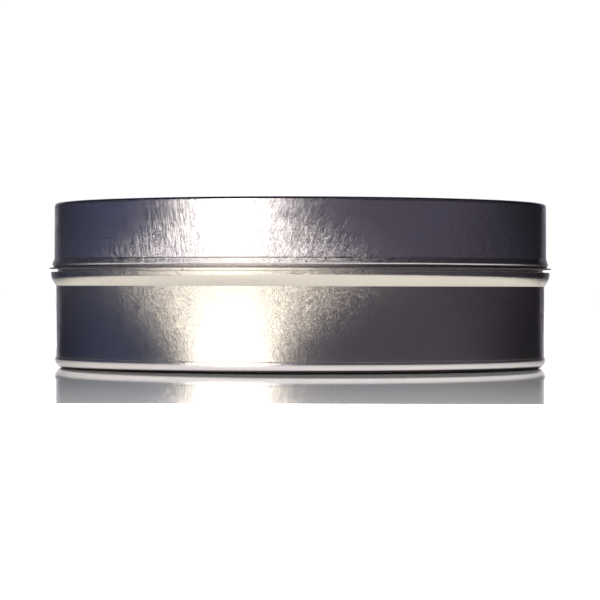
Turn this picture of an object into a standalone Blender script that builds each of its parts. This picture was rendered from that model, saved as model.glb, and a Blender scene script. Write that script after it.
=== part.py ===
# A shallow round slip-lid tin of bare tinplate: lid, body wall and base.
# Lengths are in metres, angles in degrees, +Z is up, and the tin stands on z = 0.
# A bend is measured on the inside of the sheet's turn.

import math

import bmesh
import bpy
from mathutils import Vector


# Main sizes
HEIGHT = 0.0359
BODY_RADIUS = 0.0536
SHEET = 0.00028

# Fits: the lid around the neck, the lid's panel over the mouth, its flange over
# the stop bead, and the base around the body's lower edge
LID_CLEARANCE = 0.0004
SEAT_GAP = 0.0003
SEAM_GAP = 0.00079
BASE_GAP = 0.0003

# Lid
SHOULDER_BEND = 0.0005
RIB_RISE = 0.0012
RIB_CREASE_SHARE = 0.54
RIB_DROP_SHARE = 0.21
RIB_BEND = 0.00012
RIB_TILT = 12
THROAT_BEND = 0.00006
FLANGE_REACH = 0.00105

# Neck, mouth and stop bead of the body
NECK_STEP = 0.00028
CURL_BEND = 0.00037
CURL_TAIL = 0.0004
BEAD_APEX = 0.02009
BEAD_NOSE = 0.00032
BEAD_REACH = 0.00115
BEAD_BEND = 0.0002
BEAD_TOP_TILT = 85
BEAD_FLANK_START = -12
BEAD_FLANK_END = -45

# Base
CORNER_WIDTH = 0.00195
CORNER_HEIGHT = 0.0023
RIM_REACH = 0.00025
RIM_TRIM = 0.00015
FOOT_WIDTH = 0.0008
FOOT_BEND = 0.00012
PANEL_BEND = 0.0004
PANEL_RISE = 0.0016

# Necked lower edge of the body, above the base's corner
NECK_IN_LEAD = 0.0001
NECK_IN_DROP = 0.0003

# Facets round the tin, steps along each curve, and the turn that counts as a crease
SEGMENTS = 60
NOSE_STEPS = 2
SMALL_STEPS = 3
CURL_STEPS = 6
CORNER_STEPS = 5
CREASE_ANGLE = 40

# Points nearer than this share of the sheet are one point
MERGE_SHARE = 0.001

# Quarter turns of a section: to the right, up, to the left and down
RIGHT = 0
UP = 90
LEFT = 180
DOWN = -90
LEFT_FROM_BELOW = -180
DOWN_FROM_LEFT = 270


def ellipse(centre, width, height, start, end, steps):
    """Points of an elliptic curve from one angle to another, as (radius, height)."""
    points = []
    for step in range(steps + 1):
        angle = math.radians(start + (end - start) * step / steps)
        r = centre[0] + width * math.cos(angle)
        z = centre[1] + height * math.sin(angle)
        points.append((r, z))
    return points


def arc(centre, radius, start, end, steps):
    return ellipse(centre, radius, radius, start, end, steps)


def sheet_normals(path):
    """Mitred offset directions, to the right of the way along the path."""
    edges = [Vector(b) - Vector(a) for a, b in zip(path, path[1:])]
    rights = [Vector((edge.y, -edge.x)).normalized() for edge in edges]
    normals = [rights[0]]
    for before, after in zip(rights, rights[1:]):
        middle = (before + after).normalized()
        normals.append(middle / middle.dot(before))
    normals.append(rights[-1])
    return normals


def sheet_section(path):
    """The section of a bent sheet, from the path of its outer face to its inner face."""
    normals = sheet_normals(path)
    inner = [tuple(Vector(point) + normal * SHEET) for point, normal in zip(path, normals)]
    return path + inner[::-1]


def turned_solid(name, section, material):
    """A section turned about +Z; one that starts on the axis is closed there."""
    mesh = bmesh.new()
    verts = [mesh.verts.new((r, 0, z)) for r, z in section]
    edges = [mesh.edges.new(pair) for pair in zip(verts, verts[1:])]
    starts_on_axis = section[0][0] == 0
    if not starts_on_axis:
        edges.append(mesh.edges.new((verts[-1], verts[0])))
    bmesh.ops.spin(
        mesh,
        geom=verts + edges,
        axis=(0, 0, 1),
        cent=(0, 0, 0),
        angle=math.tau,
        steps=SEGMENTS,
        use_merge=True,
    )
    bmesh.ops.remove_doubles(mesh, verts=mesh.verts, dist=SHEET * MERGE_SHARE)
    bmesh.ops.recalc_face_normals(mesh, faces=mesh.faces)
    data = bpy.data.meshes.new(name)
    mesh.to_mesh(data)
    mesh.free()
    data.materials.append(material)
    data.shade_smooth()
    data.set_sharp_from_angle(angle=math.radians(CREASE_ANGLE))
    solid = bpy.data.objects.new(name, data)
    bpy.context.scene.collection.objects.link(solid)
    return solid


def tinplate(name, colour, roughness):
    material = bpy.data.materials.new(name)
    material.use_nodes = True
    shader = material.node_tree.nodes["Principled BSDF"]
    shader.inputs["Base Color"].default_value = colour
    shader.inputs["Metallic"].default_value = 1.0
    shader.inputs["Roughness"].default_value = roughness
    return material


def neck_radius():
    return BODY_RADIUS - NECK_STEP


def corner_centre():
    """Where the base's rounded corner is struck from."""
    return (BODY_RADIUS + RIM_REACH - CORNER_WIDTH, CORNER_HEIGHT)


def foot_inside():
    """Inner edge of the flat ring that the tin stands on."""
    return corner_centre()[0] - FOOT_WIDTH


def lid_path():
    """Outer face of the lid, from the middle of its panel to the tip of its flange."""
    skirt = neck_radius() + LID_CLEARANCE + SHEET
    shoulder_radius = SHOULDER_BEND + SHEET
    rib_radius = RIB_BEND + SHEET
    rib_reach = rib_radius + THROAT_BEND
    flange_top = BEAD_APEX + BEAD_NOSE + BEAD_BEND + SHEET + SEAM_GAP + SHEET
    throat = (skirt + THROAT_BEND, flange_top + THROAT_BEND)
    rib = (throat[0], throat[1] + THROAT_BEND + rib_radius)
    rib_top = rib[1] + RIB_RISE
    shoulder = (skirt - shoulder_radius, HEIGHT - shoulder_radius)
    path = [(0, HEIGHT)]
    path += arc(shoulder, shoulder_radius, UP, RIGHT, SMALL_STEPS)
    path.append((skirt, rib_top))
    path.append((skirt + rib_reach * RIB_CREASE_SHARE, rib_top - RIB_RISE * RIB_DROP_SHARE))
    path += arc(rib, rib_radius, RIB_TILT, DOWN, SMALL_STEPS)
    path += arc(throat, THROAT_BEND, UP, DOWN_FROM_LEFT, SMALL_STEPS)[1:]
    path.append((skirt + FLANGE_REACH, flange_top))
    return path


def bead_path():
    """Outer face of the stop bead, from its crown down its upright nose and flank to the wall."""
    nose_radius = BEAD_BEND + SHEET
    nose = (BODY_RADIUS + BEAD_REACH - nose_radius, BEAD_APEX)
    crown = (nose[0], nose[1] + BEAD_NOSE)
    points = arc(crown, nose_radius, BEAD_TOP_TILT, RIGHT, SMALL_STEPS)
    points += arc(nose, nose_radius, RIGHT, BEAD_FLANK_START, NOSE_STEPS)
    start = math.radians(BEAD_FLANK_START)
    end = math.radians(BEAD_FLANK_END)
    flank_radius = (points[-1][0] - BODY_RADIUS) / (math.cos(start) - math.cos(end))
    flank_centre = (
        points[-1][0] - flank_radius * math.cos(start),
        points[-1][1] - flank_radius * math.sin(start),
    )
    flank = arc(flank_centre, flank_radius, BEAD_FLANK_START, BEAD_FLANK_END, SMALL_STEPS)
    return points + flank[1:]


def body_path():
    """Outer face of the body wall, from the mouth's curl down to the inturned lower edge."""
    neck = neck_radius()
    curl_radius = CURL_BEND + SHEET
    mouth_top = HEIGHT - SHEET - SEAT_GAP
    curl = (neck - curl_radius, mouth_top - curl_radius)
    path = [(curl[0] - curl_radius, curl[1] - CURL_TAIL)]
    path += arc(curl, curl_radius, LEFT, RIGHT, CURL_STEPS)
    bead = bead_path()
    bead_slope = 1 / math.tan(math.radians(BEAD_TOP_TILT))
    path.append((neck, bead[0][1] + (bead[0][0] - neck) * bead_slope))
    path += bead
    nest = SHEET + BASE_GAP
    corner = corner_centre()
    neck_in_foot = CORNER_HEIGHT + NECK_IN_LEAD
    path.append((BODY_RADIUS, neck_in_foot + NECK_IN_DROP))
    path.append((corner[0] + CORNER_WIDTH - nest, neck_in_foot))
    path += ellipse(corner, CORNER_WIDTH - nest, CORNER_HEIGHT - nest, RIGHT, DOWN, CORNER_STEPS)
    chuck_wall = foot_inside() - FOOT_BEND - SHEET
    path.append((chuck_wall + nest, nest))
    return path


def base_path():
    """Outer face of the base, from its upright edge under the corner to its centre."""
    corner = corner_centre()
    foot_radius = FOOT_BEND + SHEET
    foot = (foot_inside(), foot_radius)
    chuck_wall = foot[0] - foot_radius
    panel_turn = (chuck_wall - PANEL_BEND, PANEL_RISE - PANEL_BEND)
    rim_angle = -math.degrees(math.asin(RIM_TRIM / CORNER_HEIGHT))
    path = ellipse(corner, CORNER_WIDTH, CORNER_HEIGHT, rim_angle, DOWN, CORNER_STEPS)
    path += arc(foot, foot_radius, DOWN, LEFT_FROM_BELOW, SMALL_STEPS)
    path += arc(panel_turn, PANEL_BEND, RIGHT, UP, SMALL_STEPS)
    path.append((0, PANEL_RISE))
    return path


def build_lid():
    finish = tinplate("lid_tinplate", (0.62, 0.61, 0.60, 1.0), 0.28)
    return turned_solid("lid", sheet_section(lid_path()), finish)


def build_body_wall():
    finish = tinplate("body_tinplate", (0.60, 0.59, 0.57, 1.0), 0.25)
    return turned_solid("body_wall", sheet_section(body_path()), finish)


def build_base_end():
    finish = tinplate("base_tinplate", (0.64, 0.62, 0.59, 1.0), 0.30)
    return turned_solid("base_end", sheet_section(base_path()), finish)


def clear_scene():
    for item in list(bpy.data.objects):
        bpy.data.objects.remove(item, do_unlink=True)


def build_tin():
    clear_scene()
    build_lid()
    build_body_wall()
    build_base_end()


build_tin()
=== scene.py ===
import math

import bmesh
import bpy
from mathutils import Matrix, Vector


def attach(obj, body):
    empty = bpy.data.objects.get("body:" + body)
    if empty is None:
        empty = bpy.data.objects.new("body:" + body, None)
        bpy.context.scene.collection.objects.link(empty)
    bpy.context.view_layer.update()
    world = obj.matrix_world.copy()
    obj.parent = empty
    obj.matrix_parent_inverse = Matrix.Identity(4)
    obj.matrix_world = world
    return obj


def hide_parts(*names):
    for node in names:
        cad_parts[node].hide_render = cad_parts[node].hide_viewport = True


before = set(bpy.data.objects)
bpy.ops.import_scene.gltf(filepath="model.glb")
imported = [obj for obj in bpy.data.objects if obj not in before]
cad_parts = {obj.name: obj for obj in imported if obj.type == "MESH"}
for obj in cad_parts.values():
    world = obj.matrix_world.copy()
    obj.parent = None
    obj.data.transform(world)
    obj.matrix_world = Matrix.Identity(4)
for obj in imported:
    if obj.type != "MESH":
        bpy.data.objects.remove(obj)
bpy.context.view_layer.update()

mm = 0.001
scene = bpy.context.scene
scene.view_settings.view_transform = "Standard"
scene.view_settings.look = "None"


def linear(hexColour):  # sRGB hex to linear red, green, blue, alpha
    channels = [int(hexColour[i:i + 2], 16) / 255 for i in (1, 3, 5)]
    bright = [c / 12.92 if c <= 0.04045 else ((c + 0.055) / 1.055) ** 2.4 for c in channels]
    return (*bright, 1.0)


def addNode(tree, kind, sockets=None, **settings):  # one node with its settings and links
    node = tree.nodes.new(kind)
    for key, value in settings.items():
        setattr(node, key, value)
    for key, value in (sockets or {}).items():
        if isinstance(value, bpy.types.NodeSocket):
            tree.links.new(value, node.inputs[key])
        else:
            node.inputs[key].default_value = value
    return node


def newMaterial(name):
    material = bpy.data.materials.new(name)
    material.use_nodes = True
    tree = material.node_tree
    return material, tree, tree.nodes["Principled BSDF"]


def perMetre(size):  # pattern scale for a feature of that size in mm
    return 1 / (size * mm)


# Rubbing marks lean from the upright by a slant, wound seamlessly round the axis. They turn the
# mirror by one swing at the closed end and another at the seam. The last number of a mark says
# on which side of the tin it is the stronger: -1 left, 1 right, 0 neither. The finest marks are
# smaller than a pixel, so they spread the lamp's edges evenly.
markValues = {
    "detail": 3.0, "roughness": 0.65,
    "low": 0.35, "high": 0.65,  # the span of the noise that turns the mirror
    "leftShare": 0.5, "rightShare": 0.3,  # where the left and right sides begin, of the radius
    "strength": 0.6, "sideGain": 0.4,  # how strong a mark is midway, and what its own side adds
}


def rubbingMarks(tree, place, along, nearSeam, values):
    v = markValues
    radius = values["radius"] * mm
    side = addNode(tree, "ShaderNodeMapRange", {
        "Value": along.outputs["X"], "From Min": -v["leftShare"] * radius,
        "From Max": v["rightShare"] * radius, "To Min": -1.0, "To Max": 1.0})
    turnBy = 0.0
    for slant, width, length, swingEnd, swingSeam, strongSide in values["marks"]:
        winding = math.tan(math.radians(slant)) / radius
        turn = addNode(tree, "ShaderNodeMath", {0: along.outputs["Z"], 1: winding}, operation="MULTIPLY")
        wound = addNode(tree, "ShaderNodeVectorRotate", {"Vector": place, "Angle": turn.outputs[0]},
                        rotation_type="Z_AXIS")
        stretch = (perMetre(width), perMetre(width), perMetre(length))
        drawn = addNode(tree, "ShaderNodeVectorMath", {0: wound.outputs[0], 1: stretch},
                        operation="MULTIPLY")
        mark = addNode(tree, "ShaderNodeTexNoise", {
            "Vector": drawn.outputs[0], "Scale": 1.0, "Detail": v["detail"], "Roughness": v["roughness"]})
        leftOrRight = addNode(tree, "ShaderNodeMapRange", {
            "Value": mark.outputs[0], "From Min": v["low"], "From Max": v["high"],
            "To Min": -0.5, "To Max": 0.5})
        swing = addNode(tree, "ShaderNodeMapRange", {
            "Value": nearSeam, "To Min": swingEnd, "To Max": swingSeam})
        share = addNode(tree, "ShaderNodeMath", {
            0: side.outputs[0], 1: v["sideGain"] * strongSide, 2: v["strength"]},
            operation="MULTIPLY_ADD")
        amount = addNode(tree, "ShaderNodeMath", {0: swing.outputs[0], 1: share.outputs[0]},
                         operation="MULTIPLY")
        turnBy = addNode(tree, "ShaderNodeMath", {
            0: leftOrRight.outputs[0], 1: amount.outputs[0], 2: turnBy},
            operation="MULTIPLY_ADD").outputs[0]
    return turnBy


# Tinplate: thin steel with a bright tin coat, rolled, then drawn over a round tool. The eye
# gets a soft mirror: dark where the room is dark, white where the lamp is. Drawing leaves it
# duller round the tin than up and down it, the more so near the seam. Fine rubbing marks run
# up the wall: each turns the mirror a little to the side, so they break up the edges of the
# lamp's reflection and vanish elsewhere.
coatValues = {"grainDetail": 2.0, "grainRoughness": 0.6, "cloudDetail": 3.0, "cloudRoughness": 0.55}


def tinplate(name, values):
    v = coatValues
    material, tree, shader = newMaterial(name)
    place = addNode(tree, "ShaderNodeTexCoord").outputs["Object"]
    along = addNode(tree, "ShaderNodeSeparateXYZ", {0: place})
    bandEnd, bandSeam = values["dullBand"]
    nearSeam = addNode(tree, "ShaderNodeMapRange", {
        "Value": along.outputs["Z"], "From Min": bandEnd * mm, "From Max": bandSeam * mm}).outputs[0]
    turnBy = rubbingMarks(tree, place, along, nearSeam, values)

    # a very shallow grain lies over all, under the marks
    grain = addNode(tree, "ShaderNodeTexNoise", {
        "Vector": place, "Scale": perMetre(values["grain"]),
        "Detail": v["grainDetail"], "Roughness": v["grainRoughness"]})
    relief = addNode(tree, "ShaderNodeMath", {0: grain.outputs[0], 1: values["grainDepth"]},
                     operation="MULTIPLY")
    bump = addNode(tree, "ShaderNodeBump", {"Strength": 1.0, "Distance": mm, "Height": relief.outputs[0]})
    facing = addNode(tree, "ShaderNodeVectorRotate", {"Vector": bump.outputs[0], "Angle": turnBy},
                     rotation_type="Z_AXIS")

    # duller near the seam, brighter toward the closed end, and a little uneven
    cloud = addNode(tree, "ShaderNodeTexNoise", {
        "Vector": place, "Scale": perMetre(values["cloud"]),
        "Detail": v["cloudDetail"], "Roughness": v["cloudRoughness"]})
    band = addNode(tree, "ShaderNodeMapRange", {
        "Value": nearSeam, "To Min": values["roughEnd"], "To Max": values["roughSeam"]})
    uneven = addNode(tree, "ShaderNodeMath", {
        0: cloud.outputs[0], 1: values["roughUneven"], 2: -0.5 * values["roughUneven"]},
        operation="MULTIPLY_ADD")
    dull = addNode(tree, "ShaderNodeMath", {0: band.outputs[0], 1: uneven.outputs[0]}, operation="ADD")
    tint = addNode(tree, "ShaderNodeMix", {
        0: cloud.outputs[0], 6: linear(values["warm"]), 7: linear(values["cool"])}, data_type="RGBA")
    roundAxis = addNode(tree, "ShaderNodeTangent", direction_type="RADIAL", axis="Z")

    tree.links.new(tint.outputs[2], shader.inputs["Base Color"])
    tree.links.new(dull.outputs[0], shader.inputs["Roughness"])
    tree.links.new(facing.outputs[0], shader.inputs["Normal"])
    tree.links.new(roundAxis.outputs[0], shader.inputs["Tangent"])
    shader.inputs["Anisotropic"].default_value = values["anisotropy"]
    shader.inputs["Metallic"].default_value = 1.0
    return material


# Rolled tinplate: the flat panels, which the tools left as the mill made them. The eye gets a
# cooler, cloudier mirror with faint straight rolling lines.
panelValues = {
    "warm": "#cfcbc6", "cool": "#bfc0c6",
    "lineWidth": 0.35, "lineLength": 14.0, "lineDepth": 0.0016, "lineDetail": 3.0, "lineRoughness": 0.6,
    "cloud": 12.0, "cloudDetail": 4.0, "cloudRoughness": 0.6, "cloudLow": 0.3, "cloudHigh": 0.7,
    "roughClean": 0.28, "roughCloudy": 0.38,
}


def rolledTinplate(name):
    v = panelValues
    material, tree, shader = newMaterial(name)
    place = addNode(tree, "ShaderNodeTexCoord").outputs["Object"]
    stretch = (perMetre(v["lineLength"]), perMetre(v["lineWidth"]), perMetre(v["lineWidth"]))
    stretched = addNode(tree, "ShaderNodeVectorMath", {0: place, 1: stretch}, operation="MULTIPLY")
    lines = addNode(tree, "ShaderNodeTexNoise", {
        "Vector": stretched.outputs[0], "Scale": 1.0,
        "Detail": v["lineDetail"], "Roughness": v["lineRoughness"]})
    depth = addNode(tree, "ShaderNodeMath", {0: lines.outputs[0], 1: v["lineDepth"]},
                    operation="MULTIPLY")
    bump = addNode(tree, "ShaderNodeBump", {"Strength": 1.0, "Distance": mm, "Height": depth.outputs[0]})
    cloud = addNode(tree, "ShaderNodeTexNoise", {
        "Vector": place, "Scale": perMetre(v["cloud"]),
        "Detail": v["cloudDetail"], "Roughness": v["cloudRoughness"]})
    dull = addNode(tree, "ShaderNodeMapRange", {
        "Value": cloud.outputs[0], "From Min": v["cloudLow"], "From Max": v["cloudHigh"],
        "To Min": v["roughClean"], "To Max": v["roughCloudy"]})
    tint = addNode(tree, "ShaderNodeMix", {
        0: cloud.outputs[0], 6: linear(v["warm"]), 7: linear(v["cool"])}, data_type="RGBA")
    tree.links.new(tint.outputs[2], shader.inputs["Base Color"])
    tree.links.new(dull.outputs[0], shader.inputs["Roughness"])
    tree.links.new(bump.outputs[0], shader.inputs["Normal"])
    shader.inputs["Metallic"].default_value = 1.0
    return material


# Sheared steel: the cut edge of the sheet, bare of tin. The eye gets a thin dull line.
cutValues = {"burr": 0.5, "burrDetail": 2.0, "dark": "#5f5b56", "light": "#86817a", "roughness": 0.45}


def shearedSteel(name):
    v = cutValues
    material, tree, shader = newMaterial(name)
    place = addNode(tree, "ShaderNodeTexCoord").outputs["Object"]
    burr = addNode(tree, "ShaderNodeTexNoise", {
        "Vector": place, "Scale": perMetre(v["burr"]), "Detail": v["burrDetail"]})
    tint = addNode(tree, "ShaderNodeMix", {
        0: burr.outputs[0], 6: linear(v["dark"]), 7: linear(v["light"])}, data_type="RGBA")
    tree.links.new(tint.outputs[2], shader.inputs["Base Color"])
    shader.inputs["Roughness"].default_value = v["roughness"]
    shader.inputs["Metallic"].default_value = 1.0
    return material


flatPanel = rolledTinplate("rolledTinplate")
cutEdge = shearedSteel("shearedSteel")

sheetValues = {
    "thickness": 0.28, "edgeBend": 0.05,  # the cut edge is a little rounded
    "guard": 0.04,  # how far from a bend a straight run is pinned flat
    "leastRun": 0.16,  # a shorter straight run isn't pinned
    "curveShare": 0.98,  # a curve stops just short of its neighbour
    "spinSteps": 360, "mergeWithin": 0.0005, "creaseAngle": 35,
    "levelFrom": 0.99, "uprightTo": 0.8,  # the vertical part of a normal: a panel's, a cut edge's
}
sheet = sheetValues["thickness"]


# The section of a bent sheet is drawn from the sharp corners of its outer face. The sheet
# lies to the right of the way along them. A corner is (radius, height, bend), and the bend
# is measured on the inside of the turn; a fourth number is the outer bend of a coined corner.
def sheetSection(corners):
    points = [Vector(corner[:2]) for corner in corners]
    ways = [(b - a).normalized() for a, b in zip(points, points[1:])]
    rights = [Vector((way.y, -way.x)) for way in ways]
    # an end on the axis isn't cut
    startBend, endBend = [sheetValues["edgeBend"] if points[i].x else 0.0 for i in (0, -1)]
    outer = [(points[0], startBend)]
    inner = [(points[0] + rights[0] * sheet, startBend)]
    for i, (before, after) in enumerate(zip(rights, rights[1:]), start=1):
        middle = (before + after).normalized()
        turn = before.angle_signed(after)  # positive turns right
        bend = corners[i][2]
        reach = math.tan(abs(turn) / 2) * sheetValues["curveShare"]  # corner to curve, per bend
        outerBend, innerBend = (bend + sheet, bend) if turn > 0 else (bend, bend + sheet)
        if len(corners[i]) > 3:
            outerBend = corners[i][3]
        outer.append((points[i], outerBend * reach if bend else 0.0))
        inner.append((points[i] + middle * (sheet / middle.dot(before)), innerBend * reach if bend else 0.0))
    outer.append((points[-1], endBend))
    inner.append((points[-1] + rights[-1] * sheet, endBend))
    return guarded(outer + inner[::-1])


# Two more points on each straight run, just beyond the bends at its ends, keep the bends'
# rounding out of the run, so that it mirrors as flat as it is.
def guarded(section):
    guard = sheetValues["guard"]
    full = []
    for (a, aBend), (b, bBend) in zip(section, section[1:]):
        full.append((a, aBend))
        run = b - a
        if run.length - aBend - bBend > sheetValues["leastRun"]:
            way = run.normalized()
            full += [(a + way * (aBend + guard), 0.0), (b - way * (bBend + guard), 0.0)]
    return full + [section[-1]]


def pressedSheet(name, corners, values, material):
    v = sheetValues
    section = sheetSection(corners)
    mesh = bmesh.new()
    verts = [mesh.verts.new((point.x * mm, 0, point.y * mm)) for point, bend in section]
    for a, b in zip(verts, verts[1:]):
        mesh.edges.new((a, b))
    onAxis = section[0][0].x == 0 or section[-1][0].x == 0
    if not onAxis:
        mesh.edges.new((verts[-1], verts[0]))
    for vert, (point, bend) in zip(verts, section):
        if bend:
            bmesh.ops.bevel(mesh, geom=[vert], offset=bend * mm, offset_type="OFFSET",
                            segments=values["curveSteps"], profile=0.5, affect="VERTICES",
                            clamp_overlap=False, material=-1)
    bmesh.ops.spin(mesh, geom=mesh.verts[:] + mesh.edges[:], axis=(0, 0, 1), cent=(0, 0, 0),
                   angle=math.tau, steps=v["spinSteps"], use_merge=True)
    bmesh.ops.remove_doubles(mesh, verts=mesh.verts[:], dist=v["mergeWithin"] * mm)
    bmesh.ops.recalc_face_normals(mesh, faces=mesh.faces[:])
    panelWithin = values.get("panelRadius", 0) * mm
    cutBeyond = values.get("edgeRadius", math.inf) * mm
    for face in mesh.faces:  # the flat panel keeps the mill's finish, and a cut edge is bare
        reach = face.calc_center_median().xy.length
        if abs(face.normal.z) > v["levelFrom"] and reach < panelWithin:
            face.material_index = 1
        elif abs(face.normal.z) < v["uprightTo"] and reach > cutBeyond:
            face.material_index = 2
    data = bpy.data.meshes.new(name)
    mesh.to_mesh(data)
    mesh.free()
    for finish in (material, flatPanel, cutEdge):
        data.materials.append(finish)
    data.shade_smooth()
    data.set_sharp_from_angle(angle=math.radians(v["creaseAngle"]))
    piece = bpy.data.objects.new(name, data)
    scene.collection.objects.link(piece)
    print(name, len(data.polygons), "faces")
    return piece


lidValues = {
    "height": 35.9, "skirtRadius": 54.0, "shoulderBend": 0.5,
    "ribTop": 23.68, "ribStep": 0.1, "ribDrop": 0.1, "stepBend": 0.05,
    "ribReach": 0.46, "ribKnee": 22.62, "ribBend": 0.12, "haunchDrop": 0.40, "haunchBack": 0.14,
    "ribFoot": 0.28, "ribUnder": 21.88, "footBend": 0.03, "footCoin": 0.06,
    "throatBend": 0.02, "flangeTop": 21.83, "flangeDip": 0.06, "flangeReach": 1.05,
    "panelRadius": 53.1, "edgeRadius": 54.98, "curveSteps": 6,
}
# A mark is (slant, width, length, swing at the closed end, swing at the seam, strong side), and
# its swings are in radians. A dull band goes from the closed end's height to the seam's.
lidFinish = {
    "warm": "#d2cdc6", "cool": "#c4c2c8", "radius": 54.0, "anisotropy": 1.0,
    "marks": [
        (-28, 0.18, 2.2, 0.12, 0.30, 1),
        (8, 0.18, 2.4, 0.15, 0.30, -1),
        (0, 0.06, 0.20, 0.30, 1.20, 0),
    ],
    "grain": 0.40, "grainDepth": 0.001, "cloud": 9.0,
    "dullBand": (33.0, 24.0), "roughEnd": 0.17, "roughSeam": 0.19, "roughUneven": 0.02,
}


def lidCorners(v):
    skirt, rib = v["skirtRadius"], v["skirtRadius"] + v["ribReach"]
    return [
        (0, v["height"], 0),
        (skirt, v["height"], v["shoulderBend"]),
        (skirt, v["ribTop"], v["stepBend"]),
        (skirt + v["ribStep"], v["ribTop"] - v["ribDrop"], v["stepBend"]),
        (rib, v["ribKnee"], v["ribBend"]),
        (rib - v["haunchBack"], v["ribKnee"] - v["haunchDrop"], v["ribBend"]),
        (rib - v["ribFoot"], v["ribUnder"], v["footBend"], v["footCoin"]),
        (skirt, v["ribUnder"], v["throatBend"]),
        (skirt, v["flangeTop"], v["throatBend"]),
        (skirt + v["flangeReach"], v["flangeTop"] - v["flangeDip"], 0),
    ]


lid = pressedSheet("tinLid", lidCorners(lidValues), lidValues, tinplate("drawnTinplateLid", lidFinish))

bodyValues = {
    "wallRadius": 53.6, "neckRadius": 53.32, "mouthTop": 35.32, "curlBend": 0.37, "curlTail": 1.05,
    "beadTop": 20.86, "rootBend": 0.08, "beadCrown": 20.86, "crownBend": 0.05, "crownCoin": 0.06,
    "beadLow": 20.166, "beadReach": 1.15, "beadBend": 0.40,
    "flankReach": 0.83, "flankZ": 18.74, "flankBend": 4.08, "flankFoot": 17.826, "flankFootBend": 0.35,
    "ledgeTop": 2.38, "ledgeFoot": 2.35, "ledgeBend": 0.01, "ledgeCoin": 0.04,
    "footRadius": 53.27, "cornerBend": 1.0, "nest": 0.58, "footInside": 51.28, "curveSteps": 6,
}
bodyFinish = {
    "warm": "#d0cabb", "cool": "#c4c0b6", "radius": 53.5, "anisotropy": 1.0,
    "marks": [
        (-18, 0.18, 0.7, 0.07, 0.20, 1),
        (20, 0.18, 0.8, 0.07, 0.20, -1),
        (0, 0.05, 0.12, 0.22, 1.25, 0),
    ],
    "grain": 0.36, "grainDepth": 0.001, "cloud": 8.0,
    "dullBand": (4.0, 17.0), "roughEnd": 0.15, "roughSeam": 0.19, "roughUneven": 0.02,
}


def bodyCorners(v):
    neck, wall = v["neckRadius"], v["wallRadius"]
    tail = neck - 2 * (v["curlBend"] + sheet)
    return [
        (tail, v["mouthTop"] - v["curlTail"], 0),
        (tail, v["mouthTop"], v["curlBend"]),
        (neck, v["mouthTop"], v["curlBend"]),
        (neck, v["beadTop"], v["rootBend"]),
        (wall + v["beadReach"], v["beadCrown"], v["crownBend"], v["crownCoin"]),
        (wall + v["beadReach"], v["beadLow"], v["beadBend"]),
        (wall + v["flankReach"], v["flankZ"], v["flankBend"]),
        (wall, v["flankFoot"], v["flankFootBend"]),
        (wall, v["ledgeTop"], v["ledgeBend"], v["ledgeCoin"]),
        (v["footRadius"], v["ledgeFoot"], v["ledgeBend"]),
        (v["footRadius"], v["nest"], v["cornerBend"]),
        (v["footInside"], v["nest"], 0),
    ]


body = pressedSheet("tinBody", bodyCorners(bodyValues), bodyValues, tinplate("drawnTinplateBody", bodyFinish))

baseValues = {
    "rimRadius": 53.85, "rimTop": 2.33, "cornerBend": 1.60, "chuckWall": 50.7, "footBend": 0.12,
    "panelRise": 1.6, "panelBend": 0.4, "panelRadius": 50.2, "curveSteps": 8,
}
baseFinish = {
    "warm": "#d6d0c8", "cool": "#c9c6ca", "radius": 53.0, "anisotropy": 1.0,
    "marks": [(40, 0.20, 1.0, 0.2, 0.2, 0)],
    "grain": 0.40, "grainDepth": 0.002, "cloud": 10.0,
    "dullBand": (0.0, 3.0), "roughEnd": 0.15, "roughSeam": 0.15, "roughUneven": 0.02,
}


def baseCorners(v):
    return [
        (v["rimRadius"], v["rimTop"], 0),
        (v["rimRadius"], 0, v["cornerBend"]),
        (v["chuckWall"], 0, v["footBend"]),
        (v["chuckWall"], v["panelRise"], v["panelBend"]),
        (0, v["panelRise"], 0),
    ]


base = pressedSheet("tinBase", baseCorners(baseValues), baseValues, tinplate("drawnTinplateBase", baseFinish))

for piece, node, bodyName, slot in (
    (lid, "lid", "tin_lid", "lid_tinplate"),
    (body, "body_wall", "tin_body", "body_tinplate"),
    (base, "base_end", "tin_body", "base_tinplate"),
):
    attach(piece, bodyName)
    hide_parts(node)
print("tin dressed")


def flatSheet(name, v, material):
    mesh = bmesh.new()
    if v["sides"] == 4:
        bmesh.ops.create_grid(mesh, x_segments=1, y_segments=1, size=v["half"] * mm)
    else:
        bmesh.ops.create_circle(mesh, cap_ends=True, segments=v["sides"], radius=v["half"] * mm)
    bmesh.ops.translate(mesh, verts=mesh.verts[:], vec=(0, 0, v["level"] * mm))
    data = bpy.data.meshes.new(name)
    mesh.to_mesh(data)
    mesh.free()
    data.materials.append(material)
    flat = bpy.data.objects.new(name, data)
    scene.collection.objects.link(flat)
    return flat


# White acrylic sheet: a clean mirror seen along it, plain white seen from above. Its white carries painted
# shade: it goes from a darker to a brighter level between two distances from a centre near the tin's axis,
# darker toward the tin.
acrylicGloss = {"roughness": 0.03, "ior": 1.49}
# The disc lies hidden under the sheet and is a darker white than the sheet. Its white falls almost to black
# under the tin's rounded lower edge: a painted shadow, its centre set a little toward the camera and to the
# right.
nearValues = {
    "half": 101, "sides": 128, "level": -0.04, "colour": "#faf8f8", "centre": (0.32, -0.43),
    "fromReach": 53.06, "toReach": 53.66, "paintedShadeWhite": 0.02, "unshadedWhite": 0.74,
}
# The sheet's white is painted darker toward the tin, as a broad soft shadow round it.
acrylicValues = {
    "half": 194.5, "sides": 4, "level": -0.02, "colour": "#fbfaf9", "centre": (0, 0),
    "fromReach": 55, "toReach": 190, "paintedShadeWhite": 0.45, "unshadedWhite": 1.0,
}


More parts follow.
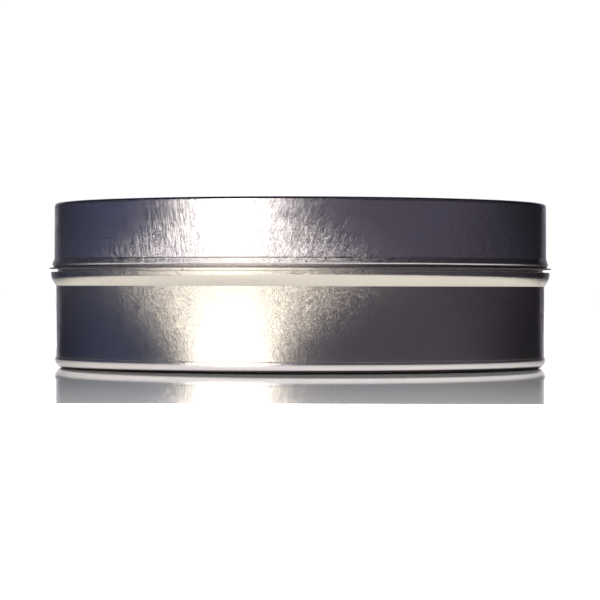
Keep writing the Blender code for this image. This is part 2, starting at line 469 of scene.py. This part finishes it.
def whiteAcrylic(name, v):
    material, tree, shader = newMaterial(name)
    place = addNode(tree, "ShaderNodeTexCoord").outputs["Object"]
    flat = addNode(tree, "ShaderNodeVectorMath", {0: place, 1: (1, 1, 0)}, operation="MULTIPLY")
    centre = (v["centre"][0] * mm, v["centre"][1] * mm, 0)
    reach = addNode(tree, "ShaderNodeVectorMath", {0: flat.outputs[0], 1: centre}, operation="DISTANCE")
    # painted shade: the white is darkest at the first reach and brightest at the second
    white = addNode(tree, "ShaderNodeMapRange", {
        "Value": reach.outputs["Value"], "From Min": v["fromReach"] * mm, "From Max": v["toReach"] * mm,
        "To Min": v["paintedShadeWhite"], "To Max": v["unshadedWhite"]})
    tint = addNode(tree, "ShaderNodeMix", {
        0: white.outputs[0], 6: (0, 0, 0, 1), 7: linear(v["colour"])}, data_type="RGBA")
    tree.links.new(tint.outputs[2], shader.inputs["Base Color"])
    shader.inputs["Roughness"].default_value = acrylicGloss["roughness"]
    shader.inputs["IOR"].default_value = acrylicGloss["ior"]
    return material


# Matt white table beyond it, burnt out to plain white.
tableValues = {"half": 20000, "sides": 4, "level": -0.2, "colour": "#ffffff", "glow": 1.0}


def mattWhite(name, v):
    material, _, shader = newMaterial(name)
    shader.inputs["Base Color"].default_value = linear(v["colour"])
    shader.inputs["Roughness"].default_value = 1.0
    shader.inputs["Specular IOR Level"].default_value = 0.0
    shader.inputs["Emission Color"].default_value = linear(v["colour"])
    shader.inputs["Emission Strength"].default_value = v["glow"]
    return material


# The camera sees the whole sheet, whose white is painted darker toward the tin as a soft shadow. The tin
# mirrors only the disc close by, just under the sheet and with a deep painted shadow below the rounded lower
# edge; the rest would wash the walls out.
nearDisc = flatSheet("acrylicNear", nearValues, whiteAcrylic("whiteAcrylicNear", nearValues))
nearDisc.visible_diffuse = False
acrylic = flatSheet("acrylicSheet", acrylicValues, whiteAcrylic("whiteAcrylic", acrylicValues))
acrylic.visible_glossy = False
acrylic.visible_shadow = False
table = flatSheet("tableTop", tableValues, mattWhite("mattWhiteTable", tableValues))
table.visible_glossy = False
print("table laid")

# Each card is a soft light that shows only in what mirrors it. Its azimuth and distance are
# from the tin, and azimuth 0 is toward the camera. The softbox goes on below the table's level,
# where the tin mirrors it past the near disc.
cardValues = {
    "softbox": {
        "azimuth": -31, "distance": 950, "width": 575, "low": -380, "high": 900,
        "strength": 4.2, "colour": "#fff8f4",
    },
    "backdrop": {
        "azimuth": 180, "distance": 1700, "width": 1240, "low": -200, "high": 1500,
        "strength": 1.4, "colour": "#f4f0ff",
    },
}


def softCard(name, v):
    mesh = bmesh.new()
    bmesh.ops.create_grid(mesh, x_segments=1, y_segments=1, size=0.5)
    tall = (v["high"] - v["low"]) * mm
    angle = math.radians(v["azimuth"])
    away = Vector((math.sin(angle), -math.cos(angle), 0))
    side = Vector((math.cos(angle), math.sin(angle), 0))
    centre = away * v["distance"] * mm + Vector((0, 0, v["low"] * mm + tall / 2))
    for vert in mesh.verts:
        vert.co = centre + side * (vert.co.x * v["width"] * mm) + Vector((0, 0, vert.co.y * tall))
    data = bpy.data.meshes.new(name)
    mesh.to_mesh(data)
    mesh.free()
    material, tree, _ = newMaterial(name)
    tree.nodes.clear()
    glow = addNode(tree, "ShaderNodeEmission", {"Color": linear(v["colour"]), "Strength": v["strength"]})
    addNode(tree, "ShaderNodeOutputMaterial", {"Surface": glow.outputs[0]})
    data.materials.append(material)
    card = bpy.data.objects.new(name, data)
    scene.collection.objects.link(card)
    card.visible_camera = False
    card.visible_diffuse = False


for cardName, values in cardValues.items():
    softCard(cardName, values)

# A broad round lamp, up in front of the tin and turned to it, whitens the table. No mirror shows it.
lampValues = {"width": 1600, "watts": 51, "inFront": 900, "height": 1300}
topLight = bpy.data.lights.new("topFill", "AREA")
topLight.shape = "DISK"
topLight.size = lampValues["width"] * mm
topLight.energy = lampValues["watts"]
topLamp = bpy.data.objects.new("topFill", topLight)
topLamp.location = (0, -lampValues["inFront"] * mm, lampValues["height"] * mm)
topLamp.rotation_euler = (math.atan2(lampValues["inFront"], lampValues["height"]), 0, 0)
topLamp.visible_glossy = False
topLamp.visible_camera = False
scene.collection.objects.link(topLamp)

# A dark room round the tin, bluish on the left and violet on the right, darkest over head and
# toward the back, a little to the right. The camera sees plain white in its place.
worldValues = {
    "left": "#444a6a", "right": "#585465", "leftFrom": -0.8, "rightFrom": 0.5,
    "above": 0.4, "aboveFrom": 0.05, "aboveTo": 0.14,
    "back": 0.2, "backLean": 0.25, "backFrom": -0.2, "backTo": 0.9, "white": 1.05,
}
world = bpy.data.worlds.new("studio")
scene.world = world
world.use_nodes = True
tree = world.node_tree
tree.nodes.clear()
way = addNode(tree, "ShaderNodeSeparateXYZ", {0: addNode(tree, "ShaderNodeTexCoord").outputs["Generated"]})
across = addNode(tree, "ShaderNodeMapRange", {
    "Value": way.outputs["X"], "From Min": worldValues["leftFrom"], "From Max": worldValues["rightFrom"]})
room = addNode(tree, "ShaderNodeMix", {
    0: across.outputs[0], 6: linear(worldValues["left"]), 7: linear(worldValues["right"])},
    data_type="RGBA")
rise = addNode(tree, "ShaderNodeMapRange", {
    "Value": way.outputs["Z"], "From Min": worldValues["aboveFrom"], "From Max": worldValues["aboveTo"],
    "To Min": 1.0, "To Max": worldValues["above"]}, interpolation_type="SMOOTHSTEP")
leaning = addNode(tree, "ShaderNodeMath", {
    0: way.outputs["X"], 1: worldValues["backLean"], 2: way.outputs["Y"]}, operation="MULTIPLY_ADD")
toBack = addNode(tree, "ShaderNodeMapRange", {
    "Value": leaning.outputs[0], "From Min": worldValues["backFrom"], "From Max": worldValues["backTo"],
    "To Min": 1.0, "To Max": worldValues["back"]}, interpolation_type="SMOOTHSTEP")
level = addNode(tree, "ShaderNodeMath", {0: rise.outputs[0], 1: toBack.outputs[0]}, operation="MULTIPLY")
dark = addNode(tree, "ShaderNodeBackground", {"Color": room.outputs[2], "Strength": level.outputs[0]})
plain = addNode(tree, "ShaderNodeBackground", {"Color": (1, 1, 1, 1), "Strength": worldValues["white"]})
seen = addNode(tree, "ShaderNodeLightPath")
either = addNode(tree, "ShaderNodeMixShader", {
    0: seen.outputs["Is Camera Ray"], 1: dark.outputs[0], 2: plain.outputs[0]})
addNode(tree, "ShaderNodeOutputWorld", {"Surface": either.outputs[0]})

cameraValues = {
    "distance": 600, "height": 16.95, "roll": -0.12, "focalLength": 163.2, "sensorWidth": 36,
    "shiftX": -0.0004, "shiftY": -0.0162, "clipStart": 10,
}
cameraData = bpy.data.cameras.new("camera")
cameraData.lens = cameraValues["focalLength"]
cameraData.sensor_width = cameraValues["sensorWidth"]
cameraData.shift_x = cameraValues["shiftX"]
cameraData.shift_y = cameraValues["shiftY"]
cameraData.clip_start = cameraValues["clipStart"] * mm
camera = bpy.data.objects.new("camera", cameraData)
camera.location = (0, -cameraValues["distance"] * mm, cameraValues["height"] * mm)
camera.rotation_euler = (math.radians(90), math.radians(cameraValues["roll"]), 0)
scene.collection.objects.link(camera)
scene.camera = camera
print("lamps and camera placed")
